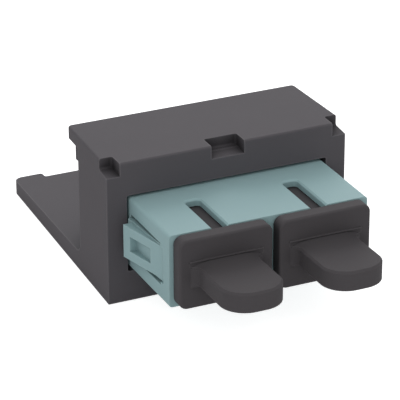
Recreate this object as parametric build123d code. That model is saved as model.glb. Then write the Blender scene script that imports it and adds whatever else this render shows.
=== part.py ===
"""SC duplex fibre adapter held in a snap-in faceplate module.

Frame: X runs across the two ports, +Y points to the rear of the panel, +Z is up.
The origin lies on the module's base, midway between the ports, under the plane
where the two ferrules of a port meet. All sizes are in millimetres.
"""
import os

from build123d import *

# Duplex adapter body, the size that the rest follows
port_pitch = 12.7
port_width = 9.0
port_height = 7.4
port_corner = 0.4
body_width = 25.55
body_height = 9.18
body_half_length = 13.68
body_corner = 0.4
body_axis_z = 8.84
mouth_chamfer = 0.25

# Keyway in the top wall of each port
key_width = 1.95
key_length = 7.8
key_corner = 0.55
key_edge = 0.2

# Stop ears and weld pegs on the plane where the two shells meet
stop_reach = 0.7
stop_height = 6.4
stop_front = 0.7
stop_rear = 1.0
peg_radius = 0.8
peg_length = 1.6
peg_clearance = 0.05
peg_spacing = 5.0

# Snap tongue on each side of the front shell
tongue_height = 4.6
tongue_thickness = 0.9
tongue_recess = 0.35
tongue_flare = 0.45
tongue_root = 1.63
tongue_length = 9.1
slit = 0.38
slit_front = 0.75
wedge_height = 4.2
wedge_lift = 1.08
wedge_length = 7.2
wedge_setback = 0.87
pocket_height = 1.92
pocket_length = 3.9
pocket_wall = 1.2

# Ferrule sleeve and the insert that holds it
sleeve_bore = 2.5
sleeve_wall = 0.35
sleeve_length = 11.4
sleeve_split = 0.4
sleeve_clearance = 0.05
barrel_wall = 0.5
barrel_lip = 0.6
lip_bore = 2.9
lip_mouth = 3.6
seat_margin_x = 0.45
seat_margin_z = 0.25
seat_thickness = 1.3
seat_clearance = 0.05
hook_reach = 8.6
hook_side_gap = 1.15
hook_thickness = 0.8
hook_height = 2.8
hook_bead = 0.55
hook_bead_length = 1.5
hook_root_fillet = 0.5

# Dust cap
cap_width = 11.85
cap_height = 8.78
cap_thickness = 1.87
cap_corner = 1.05
cap_edge = 0.3
cap_back_edge = 0.2
cap_offset_z = 0.12
plug_clearance = 0.1
plug_wall = 0.8
plug_length = 8.3
plug_corner = 0.5
plug_chamfer = 0.3
lip_width = 9.3
lip_drop = 2.93
lip_height = 0.22
lip_stand = 0.14
lip_round = 0.08
scoop_depth = 0.55
scoop_round = 0.3
tab_width = 7.6
tab_reach = 9.25
tab_corner = 3.1
tab_root_drop = 0.5
tab_tip_drop = 0.28
tab_thickness = 2.42
tab_edge = 0.25
tab_flare = 1.3
tab_gusset = 1.0
tab_sink = 0.12

# Module frame: an upright hollow block on a long base plate
frame_height = 18.08
side_draft = 0.036
frame_front_y = -2.4
block_depth = 9.62
front_wall = 1.6
side_wall = 1.65
opening_clearance = 0.35
opening_corner = 0.25
ear_clearance = 0.22
flange_depth = 13.19
flange_thickness = 1.58
flange_corner = 0.5
bar_depth = 11.95
bar_thickness = 3.98
bar_inset = 0.55
bar_clearance = 0.57
plate_length = 35.16
plate_thick_front = 2.66
plate_thick_rear = 1.74
plate_corner = 1.2
ear_width = 3.95
ear_step = 1.2
ear_corner = 0.3
heel_fillet = 1.6
notch_width = 1.75
notch_depth = 2.32
notch_front_drop = 1.65
notch_rear_drop = 1.35
centre_notch_width = 4.3
notch_corner = 0.3
frame_edge = 0.25
overcut = 1.0

# Places that follow from the sizes above
sides = (("left", -1), ("right", 1))
body_half_width = body_width / 2
body_top_z = body_axis_z + body_height / 2
mouth_y = -body_half_length
cap_front_y = mouth_y - cap_thickness
cap_axis_z = body_axis_z + cap_offset_z
cap_top_z = cap_axis_z + cap_height / 2
sleeve_outer = sleeve_bore + 2 * sleeve_wall
holder_bore = sleeve_outer + 2 * sleeve_clearance
barrel_outer = holder_bore + 2 * barrel_wall
tongue_front_y = mouth_y + tongue_root
tongue_end_y = tongue_front_y + tongue_length
hook_outer = port_width / 2 - hook_side_gap
hook_inner = hook_outer - hook_thickness
lip_z = cap_top_z - lip_drop
block_rear_y = frame_front_y + block_depth
cavity_half = body_half_width + stop_reach + ear_clearance
frame_width = 2 * (cavity_half + side_wall + side_draft * block_depth)


def prism_y(width, height, y0, y1, x=0.0, z=0.0, corner=0.0):
    """Rounded rectangular bar along Y, centred on (x, z)."""
    plane = Plane(origin=(x, y1, z), x_dir=(1, 0, 0), z_dir=(0, -1, 0))
    if corner > 0:
        section = RectangleRounded(width, height, corner)
    else:
        section = Rectangle(width, height)
    return extrude(plane * section, y1 - y0)


def rod_y(diameter, y0, y1, x=0.0, z=0.0):
    """Round bar along Y."""
    plane = Plane(origin=(x, y1, z), x_dir=(1, 0, 0), z_dir=(0, -1, 0))
    return extrude(plane * Circle(diameter / 2), y1 - y0)


def plan_prism(points, z0, z1):
    """Polygon drawn in plan (x, y) and raised from z0 to z1."""
    outline = make_face(Polyline(*[(x, y, z0) for x, y in points], close=True))
    return extrude(outline, z1 - z0, dir=(0, 0, 1))


def side_prism(points, x0, x1):
    """Polygon drawn in side view (y, z) and run from x0 to x1."""
    outline = make_face(Polyline(*[(x0, y, z) for y, z in points], close=True))
    return extrude(outline, x1 - x0, dir=(1, 0, 0))


def edges_along(part, axis, test):
    """Edges parallel to an axis whose middle passes the test."""
    return [e for e in part.edges().filter_by(axis) if test(e.center())]


def near(value, target, reach=0.02):
    return abs(value - target) < reach


def frame_half_width(y):
    """Half width of the drafted sides at a distance behind the front face."""
    return frame_width / 2 - side_draft * (y - frame_front_y)


def drafted_slab(depth, z0, z1, corner=0.0):
    """Slab between the drafted sides, from the front face back."""
    y1 = frame_front_y + depth
    front = frame_half_width(frame_front_y)
    rear = frame_half_width(y1)
    outline = [(-front, frame_front_y), (front, frame_front_y), (rear, y1), (-rear, y1)]
    slab = plan_prism(outline, z0, z1)
    if corner > 0:
        slab = fillet(edges_along(slab, Axis.Z, lambda c: near(c.Y, y1)), corner)
    return slab


def plate_top_z(y):
    """Height of the tapering plate's top face."""
    share = (y - frame_front_y) / plate_length
    return plate_thick_front + share * (plate_thick_rear - plate_thick_front)


def base_plate():
    """Thin plate that tapers towards the rear and ends in two ears."""
    rear_y = frame_front_y + plate_length
    plate = drafted_slab(plate_length, 0, plate_thick_front, plate_corner)
    taper = side_prism(
        [(frame_front_y, 0), (rear_y, 0), (rear_y, plate_thick_rear), (frame_front_y, plate_thick_front)],
        -frame_width, frame_width)
    gap_half = frame_half_width(rear_y) - ear_width
    gap = plan_prism(
        [(-gap_half, rear_y - ear_step), (gap_half, rear_y - ear_step),
         (gap_half, rear_y + ear_step), (-gap_half, rear_y + ear_step)], 0, frame_height)
    plate = (plate & taper) - gap
    corners = edges_along(plate, Axis.Z, lambda c: near(abs(c.X), gap_half))
    return fillet(corners, ear_corner)


def frame_block():
    """Upright block whose top wall runs on behind it as a flange."""
    block = drafted_slab(block_depth, 0, frame_height)
    flange = drafted_slab(flange_depth, frame_height - flange_thickness, frame_height, flange_corner)
    block += flange
    top = block.faces().sort_by(Axis.Z)[-1]
    return fillet(top.edges(), frame_edge)


def rear_bar():
    """Cross bar under the flange that ties the side walls together, just over the adapter's rear half."""
    bar_y = frame_front_y + bar_depth
    half = frame_half_width(bar_y) - bar_inset
    top_z = frame_height - flange_thickness
    outline = [(-half, bar_y - bar_thickness), (half, bar_y - bar_thickness), (half, bar_y), (-half, bar_y)]
    return plan_prism(outline, body_top_z + bar_clearance, top_z)


def notch_cutters():
    """Three latch notches in the top front edge, with floors that fall towards the front."""
    back_y = frame_front_y + notch_depth
    front_y = frame_front_y - overcut
    half = frame_width / 2
    rear_z = frame_height - notch_rear_drop
    fall = (notch_front_drop - notch_rear_drop) / notch_depth
    profile = [(front_y, rear_z - fall * (back_y - front_y)), (back_y, rear_z),
               (back_y, frame_height + overcut), (front_y, frame_height + overcut)]
    spans = [(-half - overcut, -half + notch_width), (half - notch_width, half + overcut),
             (-centre_notch_width / 2, centre_notch_width / 2)]
    cutters = []
    for x0, x1 in spans:
        tool = side_prism(profile, x0, x1)
        rear = edges_along(tool, Axis.Z, lambda c: near(c.Y, back_y))
        floor = [e for e in tool.edges() if near(e.center().Y, back_y) and near(e.center().Z, rear_z)]
        cutters.append(fillet(rear + floor, notch_corner))
    return cutters


def frame_cavity():
    """Space behind the front wall, from the plate's top up to the top wall, open at the back."""
    y0 = frame_front_y + front_wall
    y1 = block_rear_y + overcut
    top_z = frame_height - flange_thickness
    return side_prism([(y0, plate_top_z(y0)), (y1, plate_top_z(y1)), (y1, top_z), (y0, top_z)],
                      -cavity_half, cavity_half)


def module_frame():
    """The moulded module: base plate, hollow block, flange, bar and notches."""
    frame = base_plate() + frame_block()
    heel = [e for e in frame.edges().filter_by(Axis.X)
            if near(e.center().Y, block_rear_y) and e.center().Z < plate_thick_front]
    frame = fillet(heel, heel_fillet)
    frame -= frame_cavity()
    frame += rear_bar()
    frame -= prism_y(body_width + 2 * opening_clearance, body_height + 2 * opening_clearance,
                     frame_front_y - overcut, frame_front_y + front_wall + overcut, z=body_axis_z,
                     corner=opening_corner)
    for tool in notch_cutters():
        frame -= tool
    return frame


def shell_tube(y0, y1):
    """Outer body between two planes, with both port cavities through it."""
    tube = prism_y(body_width, body_height, y0, y1, z=body_axis_z, corner=body_corner)
    for name, side in sides:
        tube -= prism_y(port_width, port_height, y0, y1, side * port_pitch / 2, body_axis_z, port_corner)
    return tube


def shell_half(direction):
    """Half of the housing from the weld plane (y = 0) to its mouth, drawn towards -Y or +Y."""
    mouth = direction * body_half_length
    low, high = sorted((0.0, mouth))
    shell = shell_tube(low, high)
    stop = stop_front if direction < 0 else stop_rear
    stop_low, stop_high = sorted((0.0, direction * stop))
    ears = prism_y(body_width + 2 * stop_reach, stop_height, stop_low, stop_high, z=body_axis_z)
    ears -= prism_y(body_width - 2 * stop_reach, stop_height, stop_low, stop_high, z=body_axis_z)
    shell += ears
    seat_low, seat_high = sorted((0.0, direction * (seat_thickness + seat_clearance)))
    key_end = mouth - direction * key_length
    for name, side in sides:
        x = side * port_pitch / 2
        shell -= prism_y(port_width + 2 * (seat_margin_x + seat_clearance),
                         port_height + 2 * (seat_margin_z + seat_clearance),
                         seat_low, seat_high, x, body_axis_z, port_corner)
        shell -= keyway(x, key_end, mouth + direction * overcut)
    rim = [e for e in shell.edges() if near(e.center().Y, mouth) and near(e.bounding_box().size.Y, 0)]
    shell = chamfer([e for e in rim if inside_port(e.center())], mouth_chamfer)
    on_top = [e for e in shell.edges() if near(e.center().Z, body_top_z)]
    return chamfer([e for e in on_top if near_keyway(e.center(), key_end, mouth)], key_edge)


def keyway(x, end_y, open_y):
    """Slot for the connector's key, cut through the top wall and rounded at its closed end."""
    outline = [(x - key_width / 2, end_y), (x + key_width / 2, end_y),
               (x + key_width / 2, open_y), (x - key_width / 2, open_y)]
    slot = plan_prism(outline, body_axis_z, body_axis_z + body_height)
    return fillet(edges_along(slot, Axis.Z, lambda c: near(c.Y, end_y)), key_corner)


def near_keyway(point, end_y, mouth):
    """True for a point on the rim of a keyway, short of the mouth."""
    x = abs(abs(point.X) - port_pitch / 2)
    low, high = sorted((end_y, mouth))
    return x < key_width / 2 + 0.01 and low - 0.01 < point.Y < high + 0.01 and not near(point.Y, mouth)


def inside_port(point):
    """True for a point on the wall of a port cavity, away from the keyway and the outer faces."""
    x = abs(abs(point.X) - port_pitch / 2)
    z = abs(point.Z - body_axis_z)
    return x < port_width / 2 + 0.01 and z < port_height / 2 + 0.01


def tongue_x(y):
    """Outer face of the flared tongue, as a distance from the middle plane."""
    share = (y - tongue_front_y) / tongue_length
    return body_half_width - tongue_recess + share * (tongue_recess + tongue_flare)


def snap_tongue(side):
    """Cantilever tongue with its ramped wedge and the cored pocket in the wedge."""
    half = tongue_height / 2
    outer = [(side * tongue_x(y), y) for y in (tongue_front_y, tongue_end_y)]
    inner = [(x - side * tongue_thickness, y) for x, y in reversed(outer)]
    tongue = plan_prism(outer + inner, body_axis_z - half, body_axis_z + half)
    back_y = tongue_end_y - wedge_setback
    front_y = back_y - wedge_length
    sunk = side * tongue_thickness / 2
    wedge = plan_prism(
        [(side * tongue_x(front_y), front_y),
         (side * (tongue_x(back_y) + wedge_lift), back_y),
         (side * tongue_x(back_y) - sunk, back_y), (side * tongue_x(front_y) - sunk, front_y)],
        body_axis_z - wedge_height / 2, body_axis_z + wedge_height / 2)
    pocket_back = back_y - pocket_wall
    pocket_front = pocket_back - pocket_length
    reach = side * 2 * wedge_lift
    pocket = plan_prism(
        [(side * tongue_x(pocket_front), pocket_front), (side * tongue_x(pocket_back), pocket_back),
         (side * tongue_x(pocket_back) + reach, pocket_back),
         (side * tongue_x(pocket_front) + reach, pocket_front)],
        body_axis_z - pocket_height / 2, body_axis_z + pocket_height / 2)
    return tongue + (wedge - pocket)


def tongue_window(side):
    """The cut round the tongue, and the shallow recess in front of its root."""
    window_y0 = tongue_front_y + slit_front
    window_y1 = tongue_end_y + slit
    half = tongue_height / 2
    inner = side * (port_pitch / 2 + port_width / 2 - overcut)
    outer = side * (body_half_width + overcut)
    window = plan_prism([(inner, window_y0), (outer, window_y0), (outer, window_y1), (inner, window_y1)],
                        body_axis_z - half - slit, body_axis_z + half + slit)
    floor = side * (body_half_width - tongue_recess)
    recess = plan_prism([(floor, tongue_front_y), (outer, tongue_front_y),
                         (outer, window_y0), (floor, window_y0)], body_axis_z - half, body_axis_z + half)
    return window + recess


def adapter_front_shell():
    """Front half with the snap tongues and the holes for the weld pegs."""
    shell = shell_half(-1)
    for name, side in sides:
        shell = shell - tongue_window(side) + snap_tongue(side)
    for z in (-peg_spacing / 2, peg_spacing / 2):
        shell -= rod_y(2 * (peg_radius + peg_clearance), -peg_length - peg_clearance, 0, z=body_axis_z + z)
    return shell


def adapter_rear_shell():
    """Rear half with the weld pegs in the web between the ports."""
    shell = shell_half(1)
    for z in (-peg_spacing / 2, peg_spacing / 2):
        shell += rod_y(2 * peg_radius, -peg_length, peg_radius, z=body_axis_z + z)
    return shell


def latch_insert(x, direction):
    """Seat plate, half of the sleeve holder and the two hooks that grip a connector."""
    sleeve_end = direction * (sleeve_length / 2 + sleeve_clearance)
    tip = sleeve_end + direction * barrel_lip
    seat = prism_y(port_width + 2 * seat_margin_x, port_height + 2 * seat_margin_z,
                   *sorted((0.0, direction * seat_thickness)), x, body_axis_z, port_corner)
    insert = seat + rod_y(barrel_outer, *sorted((0.0, tip)), x, body_axis_z)
    for side in (-1, 1):
        insert += latch_hook(x, side, direction)
    insert -= rod_y(holder_bore, *sorted((0.0, sleeve_end)), x, body_axis_z)
    funnel = Cone(lip_bore / 2, lip_mouth / 2, barrel_lip, rotation=(-90 * direction, 0, 0))
    insert -= Pos(x, (sleeve_end + tip) / 2, body_axis_z) * funnel
    return insert


def latch_hook(x, side, direction):
    """One flexible arm from the seat plate, with a bead on its inner face near the tip."""
    inner = hook_inner
    outer = hook_outer
    root = seat_thickness / 2
    catch = hook_reach - hook_bead_length
    profile = [(outer, root), (outer, hook_reach), (inner, hook_reach),
               (inner - hook_bead, hook_reach - hook_bead_length / 2), (inner - hook_bead, catch),
               (inner, catch), (inner, seat_thickness + hook_root_fillet),
               (inner - hook_root_fillet, seat_thickness), (inner - hook_root_fillet, root)]
    points = [(x + side * u, direction * v) for u, v in profile]
    return plan_prism(points, body_axis_z - hook_height / 2, body_axis_z + hook_height / 2)


def split_sleeve(x):
    """Alignment sleeve, slit along its length so that it springs onto the ferrules."""
    half = sleeve_length / 2
    sleeve = rod_y(sleeve_outer, -half, half, x, body_axis_z)
    sleeve -= rod_y(sleeve_bore, -half, half, x, body_axis_z)
    slot = Box(sleeve_split, sleeve_length, sleeve_outer)
    return sleeve - Pos(x, 0, body_axis_z + sleeve_outer / 2) * slot


def cap_plate(x):
    """Rounded front plate with the finger scoop over the tab and the bead along its upper edge."""
    plate = prism_y(cap_width, cap_height, cap_front_y, mouth_y, x, cap_axis_z, cap_corner)
    plate = fillet(plate.faces().sort_by(Axis.Y)[0].edges(), cap_edge)
    plate = chamfer(plate.faces().sort_by(Axis.Y)[-1].edges(), cap_back_edge)
    scoop_y = cap_front_y + scoop_depth
    floor_z = lip_z - tab_root_drop
    fall = (tab_root_drop - tab_tip_drop) / (tab_reach + scoop_depth)
    open_z = floor_z + fall * (scoop_depth + overcut)
    scoop = side_prism([(cap_front_y - overcut, lip_z), (scoop_y, lip_z), (scoop_y, floor_z),
                        (cap_front_y - overcut, open_z)], x - lip_width / 2, x + lip_width / 2)
    hollow = edges_along(scoop, Axis.X, lambda c: near(c.Y, scoop_y) and near(c.Z, floor_z))
    scoop = fillet(hollow, scoop_round)
    bead = prism_y(lip_width, lip_height, cap_front_y - lip_stand, cap_front_y + scoop_depth, x,
                   lip_z + lip_height / 2)
    bead = fillet(bead.faces().sort_by(Axis.Y)[0].edges().filter_by(Axis.X), lip_round)
    return plate - scoop + bead


def cap_tab(x):
    """Pull tab: a side profile cut to a plan outline, both rounded out into the plate at the root."""
    tip_y = cap_front_y - tab_reach
    root_y = cap_front_y + scoop_depth
    turn_y = cap_front_y + tab_sink
    root_z = lip_z - tab_root_drop
    tip_z = lip_z - tab_tip_drop
    low_z = tip_z - tab_thickness
    heel_z = low_z - tab_gusset - tab_sink
    half = tab_width / 2
    wide = half + tab_flare + tab_sink
    section = side_prism(
        [(root_y, root_z), (tip_y, tip_z), (tip_y, low_z), (turn_y, low_z),
         (turn_y, heel_z), (root_y, heel_z)], x - wide, x + wide)
    heel = edges_along(section, Axis.X, lambda c: near(c.Y, turn_y) and near(c.Z, low_z))
    section = fillet(heel, tab_gusset)
    outline = plan_prism(
        [(x - wide, root_y), (x - wide, turn_y), (x - half, turn_y), (x - half, tip_y),
         (x + half, tip_y), (x + half, turn_y), (x + wide, turn_y), (x + wide, root_y)], heel_z, lip_z)
    outline = fillet(edges_along(outline, Axis.Z, lambda c: near(c.Y, tip_y)), tab_corner)
    flares = edges_along(outline, Axis.Z, lambda c: near(c.Y, turn_y) and near(abs(c.X - x), half))
    tab = section & fillet(flares, tab_flare)
    upper = [e for e in tab.edges() if e.center().Z > (root_z + low_z) / 2 and e.center().Y < cap_front_y]
    return chamfer(upper, tab_edge)


def dust_cap(x):
    """Cap with a hollow plug that fills the mouth of a port."""
    plug_w = port_width - 2 * plug_clearance
    plug_h = port_height - 2 * plug_clearance
    plug = prism_y(plug_w, plug_h, mouth_y, mouth_y + plug_length, x, body_axis_z, plug_corner)
    plug = chamfer(plug.faces().sort_by(Axis.Y)[-1].edges(), plug_chamfer)
    plug -= prism_y(plug_w - 2 * plug_wall, plug_h - 2 * plug_wall, mouth_y, mouth_y + plug_length,
                    x, body_axis_z, plug_corner)
    return cap_plate(x) + cap_tab(x) + plug


def build_parts():
    parts = {
        "module_frame": module_frame(),
        "adapter_front_shell": adapter_front_shell(),
        "adapter_rear_shell": adapter_rear_shell(),
    }
    for name, side in sides:
        x = side * port_pitch / 2
        parts["front_latch_insert_" + name] = latch_insert(x, -1)
        parts["rear_latch_insert_" + name] = latch_insert(x, 1)
        parts["split_sleeve_" + name] = split_sleeve(x)
        parts["dust_cap_" + name] = dust_cap(x)
    return parts


os.makedirs("parts", exist_ok=True)
for node, solid in build_parts().items():
    export_step(solid, os.path.join("parts", node + ".step"))
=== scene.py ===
"""Looks of the SC duplex fibre adapter module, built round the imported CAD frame, in metres.

The solids keep their shapes and get moulded plastics and ceramic. The one new form is the concave root
that runs from the bead on each dust cap down to its pull tab.
"""
import math

import bpy
import numpy as np
from mathutils import Matrix, Vector


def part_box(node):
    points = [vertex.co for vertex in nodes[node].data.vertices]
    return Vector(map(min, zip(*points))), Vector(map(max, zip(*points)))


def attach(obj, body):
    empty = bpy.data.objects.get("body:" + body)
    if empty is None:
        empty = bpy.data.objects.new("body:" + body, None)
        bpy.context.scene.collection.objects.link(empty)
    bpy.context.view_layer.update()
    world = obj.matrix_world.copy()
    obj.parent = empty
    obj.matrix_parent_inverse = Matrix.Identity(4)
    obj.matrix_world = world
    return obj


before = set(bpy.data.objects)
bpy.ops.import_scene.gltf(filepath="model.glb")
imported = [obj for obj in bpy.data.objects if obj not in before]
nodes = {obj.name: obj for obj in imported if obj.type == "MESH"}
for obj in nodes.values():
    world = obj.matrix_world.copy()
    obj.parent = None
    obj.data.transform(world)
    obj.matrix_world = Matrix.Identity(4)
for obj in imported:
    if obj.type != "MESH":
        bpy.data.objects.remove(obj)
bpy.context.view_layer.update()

MM = 0.001

# Camera fitted to edges of the photograph, in millimetres of the row frame and in degrees. The clip
# distances are in metres.
CAMERA_PLACE = (-114.326, -244.705, 136.009)
CAMERA_YAW = 24.543
CAMERA_DOWN = 25.070
CAMERA_ROLL = -0.228
FOCAL_PIXELS = 2470.0
IMAGE_PIXELS = 400
SENSOR_MM = 36.0
CLIP_START = 0.01
CLIP_END = 10.0

# Front of a dust cap in millimetres, as in the solids
TAB_REACH = 9.25
TAB_HALF_WIDTH = 3.8
TAB_FLARE = 1.3
TAB_EDGE = 0.25
TAB_DROP = 0.49
TAB_RISE = 0.0224
BEAD_DROP = 2.93
BEAD_HALF_WIDTH = 4.65
SCOOP_DEPTH = 0.55

# Concave root between the bead and the tab, in millimetres: its length, how far its underside lies below
# the tab's top, and how far its back and sides sink into the cap. Edges sharper than the angle, in degrees,
# aren't smoothed.
ROOT_LENGTH = 3.4
ROOT_BURIED = 0.8
SUNK = 0.02
SHARP_ANGLE = 40

# Moulded surfaces: size in millimetres of the streaks that the melt's flow leaves, how far the grain moves
# the roughness up and down, and how finely it and the streaks are broken up
FLOW_SIZE = 6.0
GLOSS_SPREAD = 0.06
GRAIN_DETAIL = 3.0
GRAIN_ROUGHNESS = 0.6
FLOW_DETAIL = 2.0

# How open the surroundings of a point are, from 0 to 1, where the painted highlight on a rim starts and is
# full, and where the painted shade in a recess is darkest, with the samples that the shader takes for each
HIGHLIGHT_STARTS = 0.9
HIGHLIGHT_FULL = 0.4
RECESS_DARKEST = 0.4
SHADER_SAMPLES = 6

# Light: the world's level on the object, the white that is seen and mirrored, and the floor's own glow
# where it is seen and where it is mirrored. Lengths are in metres.
WORLD_LEVEL = 0.53
WHITE = 1.0
FLOOR_GLOW_SEEN = 0.82
FLOOR_GLOW_MIRRORED = 0.3
WHITE_COLOUR = "#ffffff"
FLOOR_COLOUR = "#e6e6e6"
FLOOR_SIZE = 4.0
FLOOR_GAP = 0.0001
LIT_POINT = (0, 0, 0.01)


def linear(hex_colour):
    """An sRGB hex colour as linear red, green, blue and alpha."""
    values = [int(hex_colour[i:i + 2], 16) / 255 for i in (1, 3, 5)]
    return tuple(v / 12.92 if v <= 0.04045 else ((v + 0.055) / 1.055) ** 2.4 for v in values) + (1.0,)


def add_node(tree, kind, inputs=None, **settings):
    """Adds a shader node, sets its properties, and sets or links its inputs by name or number."""
    node = tree.nodes.new(kind)
    for name, value in settings.items():
        setattr(node, name, value)
    for name, value in (inputs or {}).items():
        if isinstance(value, bpy.types.NodeSocket):
            tree.links.new(value, node.inputs[name])
        else:
            node.inputs[name].default_value = value
    return node


def new_material(name):
    """An empty node material and its tree."""
    material = bpy.data.materials.new(name)
    material.use_nodes = True
    material.node_tree.nodes.clear()
    return material, material.node_tree


def moulded(name, colours, roughness, specular, ior, grain_mm, grain_height_mm, edge_mm, painted_recess_shade=0.3,
            reach_mm=1.5, own_recesses=True):
    """A moulded surface.

    The first two colours are mixed by the melt's flow, the third is a painted highlight along convex edges,
    and recesses get painted shade by the share and over the reach given. They are the piece's own,
    or else also those between it and its neighbours. The mould's grain varies the gloss and the height,
    and edges are eased by a radius as a mould leaves them.
    """
    material, tree = new_material(name)
    place = add_node(tree, "ShaderNodeTexCoord").outputs["Object"]
    grain = add_node(tree, "ShaderNodeTexNoise", {"Vector": place, "Scale": 1 / (grain_mm * MM),
                                                  "Detail": GRAIN_DETAIL, "Roughness": GRAIN_ROUGHNESS})
    flow = add_node(tree, "ShaderNodeTexNoise", {"Vector": place, "Scale": 1 / (FLOW_SIZE * MM),
                                                 "Detail": FLOW_DETAIL})
    tint = add_node(tree, "ShaderNodeMix", {0: flow.outputs["Fac"], 6: linear(colours[0]),
                                            7: linear(colours[1])}, data_type="RGBA")
    # Painted highlight: the third colour is laid where the inward occlusion finds a convex edge.
    inward = add_node(tree, "ShaderNodeAmbientOcclusion", {"Distance": 2 * edge_mm * MM},
                      inside=True, only_local=True, samples=SHADER_SAMPLES)
    painted_edge_highlight = add_node(tree, "ShaderNodeMapRange", {"Value": inward.outputs["AO"],
                                                "From Min": HIGHLIGHT_STARTS, "From Max": HIGHLIGHT_FULL})
    highlighted_tint = add_node(tree, "ShaderNodeMix", {0: painted_edge_highlight.outputs[0], 6: tint.outputs[2],
                                             7: linear(colours[2])}, data_type="RGBA")
    # Painted shade: the colour is darkened where the outward occlusion finds recesses or, unless
    # own_recesses, neighbouring parts.
    outward = add_node(tree, "ShaderNodeAmbientOcclusion", {"Distance": reach_mm * MM},
                       only_local=own_recesses, samples=SHADER_SAMPLES)
    shade = add_node(tree, "ShaderNodeMapRange", {"Value": outward.outputs["AO"],
                                                  "From Min": RECESS_DARKEST, "To Min": 1 - painted_recess_shade})
    colour = add_node(tree, "ShaderNodeMix", {0: 1.0, 6: highlighted_tint.outputs[2], 7: shade.outputs[0]},
                      data_type="RGBA", blend_type="MULTIPLY")
    gloss = add_node(tree, "ShaderNodeMapRange", {"Value": grain.outputs["Fac"],
                                                  "To Min": roughness - GLOSS_SPREAD,
                                                  "To Max": roughness + GLOSS_SPREAD})
    eased = add_node(tree, "ShaderNodeBevel", {"Radius": edge_mm * MM}, samples=SHADER_SAMPLES)
    bump = add_node(tree, "ShaderNodeBump", {"Height": grain.outputs["Fac"], "Strength": 1.0,
                                             "Distance": grain_height_mm * MM,
                                             "Normal": eased.outputs["Normal"]})
    shader = add_node(tree, "ShaderNodeBsdfPrincipled", {"Base Color": colour.outputs[2],
                                                         "Roughness": gloss.outputs[0], "IOR": ior,
                                                         "Specular IOR Level": specular,
                                                         "Normal": bump.outputs["Normal"]})
    add_node(tree, "ShaderNodeOutputMaterial", {"Surface": shader.outputs["BSDF"]})
    return material


def dress(node_names, material):
    """Gives CAD nodes a material in all of their slots."""
    for name in node_names:
        mesh = nodes[name].data
        mesh.materials.clear()
        mesh.materials.append(material)


# ABS from a spark-eroded mould. The eye gets a dry charcoal grey with hardly any shine, with a paler
# painted highlight along its edges and painted shade in its recesses. The real grain of under 0.1 mm is
# drawn at
# 0.25 mm, because a pixel spans 0.12 mm.
abs_black = moulded("abs_black_spark_eroded", ("#575458", "#5b585c", "#767377"), roughness=0.68,
                    specular=0.1, ior=1.53, grain_mm=0.25, grain_height_mm=0.003, edge_mm=0.1, painted_recess_shade=0.75,
                    reach_mm=2.5)

# PBT from a stoned mould. The eye gets a satin aqua, smoother than the frame, with a brighter painted
# highlight along its eased edges and painted shade in its recesses. The stone's fine marks are drawn at
# 0.3 mm, so that they show at all.
pbt_aqua = moulded("pbt_aqua_stoned_mould", ("#98b6b9", "#9cbabd", "#aac8ca"), roughness=0.55,
                   specular=0.15, ior=1.55, grain_mm=0.3, grain_height_mm=0.002, edge_mm=0.12, painted_recess_shade=0.25)

# Polyethylene from a blasted mould. The eye gets a soft brownish black, darker and waxier than the frame.
# The real grain is finer than a pixel and is drawn at 0.2 mm. Its edges get a painted highlight, and the
# painted shade in its recesses counts its neighbours too, because the tab's root is a mesh of its own.
polyethylene_black = moulded("polyethylene_black_blasted_mould", ("#4e4b4e", "#524f51", "#625f61"),
                             roughness=0.68, specular=0.1, ior=1.51, grain_mm=0.2, grain_height_mm=0.002,
                             edge_mm=0.08, painted_recess_shade=0.3, reach_mm=2.5, own_recesses=False)

# Natural polycarbonate from a polished mould. The eye gets the pale ivory of an undyed latch with a sheen.
# Its third colour is a painted highlight along convex edges, and its recesses get painted shade.
polycarbonate_ivory = moulded("polycarbonate_ivory_polished_mould", ("#d8d2bd", "#ded8c4", "#e4dfcd"),
                              roughness=0.4, specular=0.4, ior=1.58, grain_mm=0.3, grain_height_mm=0.002,
                              edge_mm=0.1)

# Zirconia, ground and polished. The eye gets a near white that mirrors like glazed china.
# Its third colour is a painted highlight along convex edges, and its recesses get painted shade.
zirconia_white = moulded("zirconia_ground_and_polished", ("#ebeae3", "#efeee8", "#f2f1ec"), roughness=0.15,
                         specular=0.5, ior=2.1, grain_mm=0.1, grain_height_mm=0.001, edge_mm=0.03)

dress(["module_frame"], abs_black)
dress(["adapter_front_shell", "adapter_rear_shell"], pbt_aqua)
dress(["dust_cap_left", "dust_cap_right"], polyethylene_black)
dress([name for name in nodes if "latch_insert" in name], polycarbonate_ivory)
dress([name for name in nodes if "split_sleeve" in name], zirconia_white)


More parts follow.
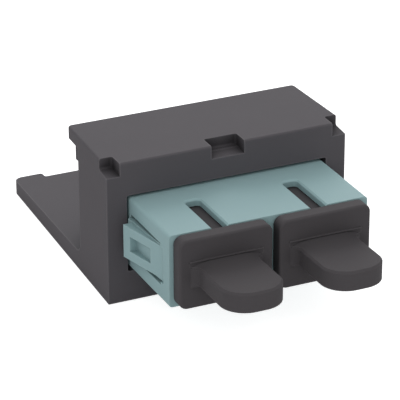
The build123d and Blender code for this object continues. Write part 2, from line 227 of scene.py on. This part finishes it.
def tab_root_surface(across=25, along=17):
    """Concave root of a pull tab as a grid of points, in millimetres from the middle of the bead's foot.

    With a the distance ahead of the plate's face and u from -1 to 1 across the tab, the height over the
    tab is h = D (1 - a / L)^3 (1 - u^4), where D is the drop from bead to tab and L the root's length.
    The half width follows the quarter circle of radius R that flares the tab's outline, so it is
    W + R - sqrt(R^2 - (R - a)^2), less the chamfer on the tab's rim. Two more rows, behind the face,
    fill the scoop. Each row runs over the top and back along the buried underside.
    """
    u = np.linspace(-1, 1, across)[None, :]
    a = ROOT_LENGTH * np.linspace(0, 1, along)[:, None] ** 1.5
    turn = np.clip(TAB_FLARE - a, 0, TAB_FLARE)
    flare = TAB_FLARE - np.sqrt(TAB_FLARE ** 2 - turn ** 2)
    half = np.minimum(TAB_HALF_WIDTH + flare, BEAD_HALF_WIDTH) - TAB_EDGE
    height = TAB_DROP * (1 - a / ROOT_LENGTH) ** 3 * (1 - u ** 4)

    behind = np.array([[-SCOOP_DEPTH - SUNK], [-SUNK / 2]])
    ahead = np.concatenate([behind, a])
    half = np.concatenate([np.full_like(behind, BEAD_HALF_WIDTH + SUNK), half])
    tab_top = TAB_RISE * ahead - TAB_DROP + 0 * u
    top = tab_top.copy()
    top[:2] = SUNK
    top[2:] += height
    x = half * u
    y = -ahead + 0 * u
    upper = np.stack([x, y, top], axis=2)
    lower = np.stack([x, y, tab_top - ROOT_BURIED], axis=2)[:, ::-1]
    return np.concatenate([upper, lower], axis=1)


def add_tab_root(name, cap, body):
    """Lofts the root's rows into a closed mesh in front of a dust cap, and lets it ride with the cap."""
    low, high = (np.array(corner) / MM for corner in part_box(cap))
    foot = np.array([(low[0] + high[0]) / 2, low[1] + TAB_REACH, high[2] - BEAD_DROP])
    points = (tab_root_surface() + foot) * MM
    rows, around = points.shape[:2]
    number = np.arange(rows * around).reshape(rows, around)
    turned = np.roll(number, -1, axis=1)
    quads = np.stack([number[:-1], number[1:], turned[1:], turned[:-1]], axis=2).reshape(-1, 4)
    ends = [number[0].tolist(), number[-1, ::-1].tolist()]
    mesh = bpy.data.meshes.new(name)
    mesh.from_pydata(points.reshape(-1, 3).tolist(), [], quads.tolist() + ends)
    mesh.shade_smooth()
    mesh.set_sharp_from_angle(angle=math.radians(SHARP_ANGLE))
    mesh.materials.append(polyethylene_black)
    piece = bpy.data.objects.new(name, mesh)
    bpy.context.scene.collection.objects.link(piece)
    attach(piece, body)


def add_camera():
    """Camera at the photograph's place, turned by its yaw, dip and roll."""
    yaw, dip, roll = (math.radians(angle) for angle in (CAMERA_YAW, CAMERA_DOWN, CAMERA_ROLL))
    ahead = Vector((math.sin(yaw) * math.cos(dip), math.cos(yaw) * math.cos(dip), -math.sin(dip)))
    level = Vector((math.cos(yaw), -math.sin(yaw), 0))
    above = level.cross(ahead)
    right = level * math.cos(roll) + above * math.sin(roll)
    up = above * math.cos(roll) - level * math.sin(roll)
    data = bpy.data.cameras.new("camera")
    data.sensor_width = SENSOR_MM
    data.lens = FOCAL_PIXELS * SENSOR_MM / IMAGE_PIXELS
    data.clip_start, data.clip_end = CLIP_START, CLIP_END
    camera = bpy.data.objects.new("camera", data)
    bpy.context.scene.collection.objects.link(camera)
    turn = Matrix((right, up, -ahead)).transposed().to_4x4()
    camera.matrix_world = Matrix.Translation(Vector(CAMERA_PLACE) * MM) @ turn
    bpy.context.scene.camera = camera


def add_lamp(name, place, size, power):
    """Square soft lamp aimed at the object; place and size in metres, power in watts."""
    data = bpy.data.lights.new(name, "AREA")
    data.shape = "SQUARE"
    data.size = size
    data.energy = power
    lamp = bpy.data.objects.new(name, data)
    bpy.context.scene.collection.objects.link(lamp)
    lamp.location = place
    lamp.rotation_euler = (Vector(LIT_POINT) - Vector(place)).to_track_quat("-Z", "Y").to_euler()


def mirrored_ray(tree, path):
    """Socket that is 1 for rays which a reflection or a clear body sends on."""
    either = add_node(tree, "ShaderNodeMath", {0: path.outputs["Is Glossy Ray"],
                                               1: path.outputs["Is Transmission Ray"]},
                      operation="MAXIMUM")
    return either.outputs[0]


def add_floor():
    """Pale floor that takes the object's shadow, with a glow that lifts it to white where it is seen."""
    bpy.ops.mesh.primitive_plane_add(size=FLOOR_SIZE, location=(0, 0, -FLOOR_GAP))
    floor = bpy.context.object
    floor.name = "floor"
    material, tree = new_material("white_paper_floor")
    path = add_node(tree, "ShaderNodeLightPath")
    mirrored = add_node(tree, "ShaderNodeMath", {0: mirrored_ray(tree, path), 1: FLOOR_GLOW_MIRRORED},
                        operation="MULTIPLY")
    strength = add_node(tree, "ShaderNodeMath", {0: path.outputs["Is Camera Ray"], 1: FLOOR_GLOW_SEEN,
                                                 2: mirrored.outputs[0]}, operation="MULTIPLY_ADD")
    paint = add_node(tree, "ShaderNodeBsdfDiffuse", {"Color": linear(FLOOR_COLOUR)})
    glow = add_node(tree, "ShaderNodeEmission", {"Color": linear(WHITE_COLOUR),
                                                 "Strength": strength.outputs[0]})
    both = add_node(tree, "ShaderNodeAddShader", {0: paint.outputs[0], 1: glow.outputs[0]})
    add_node(tree, "ShaderNodeOutputMaterial", {"Surface": both.outputs[0]})
    floor.data.materials.append(material)


def add_world():
    """Even surroundings that light the object at a plain level and are white where seen or mirrored."""
    world = bpy.data.worlds.new("studio")
    bpy.context.scene.world = world
    world.use_nodes = True
    tree = world.node_tree
    tree.nodes.clear()
    path = add_node(tree, "ShaderNodeLightPath")
    seen = add_node(tree, "ShaderNodeMath", {0: path.outputs["Is Camera Ray"], 1: mirrored_ray(tree, path)},
                    operation="MAXIMUM")
    level = add_node(tree, "ShaderNodeMapRange", {"Value": seen.outputs[0], "To Min": WORLD_LEVEL,
                                                  "To Max": WHITE})
    sky = add_node(tree, "ShaderNodeBackground", {"Color": linear(WHITE_COLOUR),
                                                  "Strength": level.outputs[0]})
    add_node(tree, "ShaderNodeOutputWorld", {"Surface": sky.outputs[0]})


add_tab_root("tab_root_left", "dust_cap_left", "left_cap")
add_tab_root("tab_root_right", "dust_cap_right", "right_cap")
add_floor()
add_world()
add_lamp("rear_softbox", (0.25, 0.6, 0.4), size=0.6, power=1.9)
add_lamp("top_softbox", (0.05, -0.05, 0.75), size=0.7, power=0.8)
add_lamp("front_fill", (-0.4, -0.6, 0.3), size=0.6, power=0.9)
add_camera()
bpy.context.scene.view_settings.view_transform = "Standard"
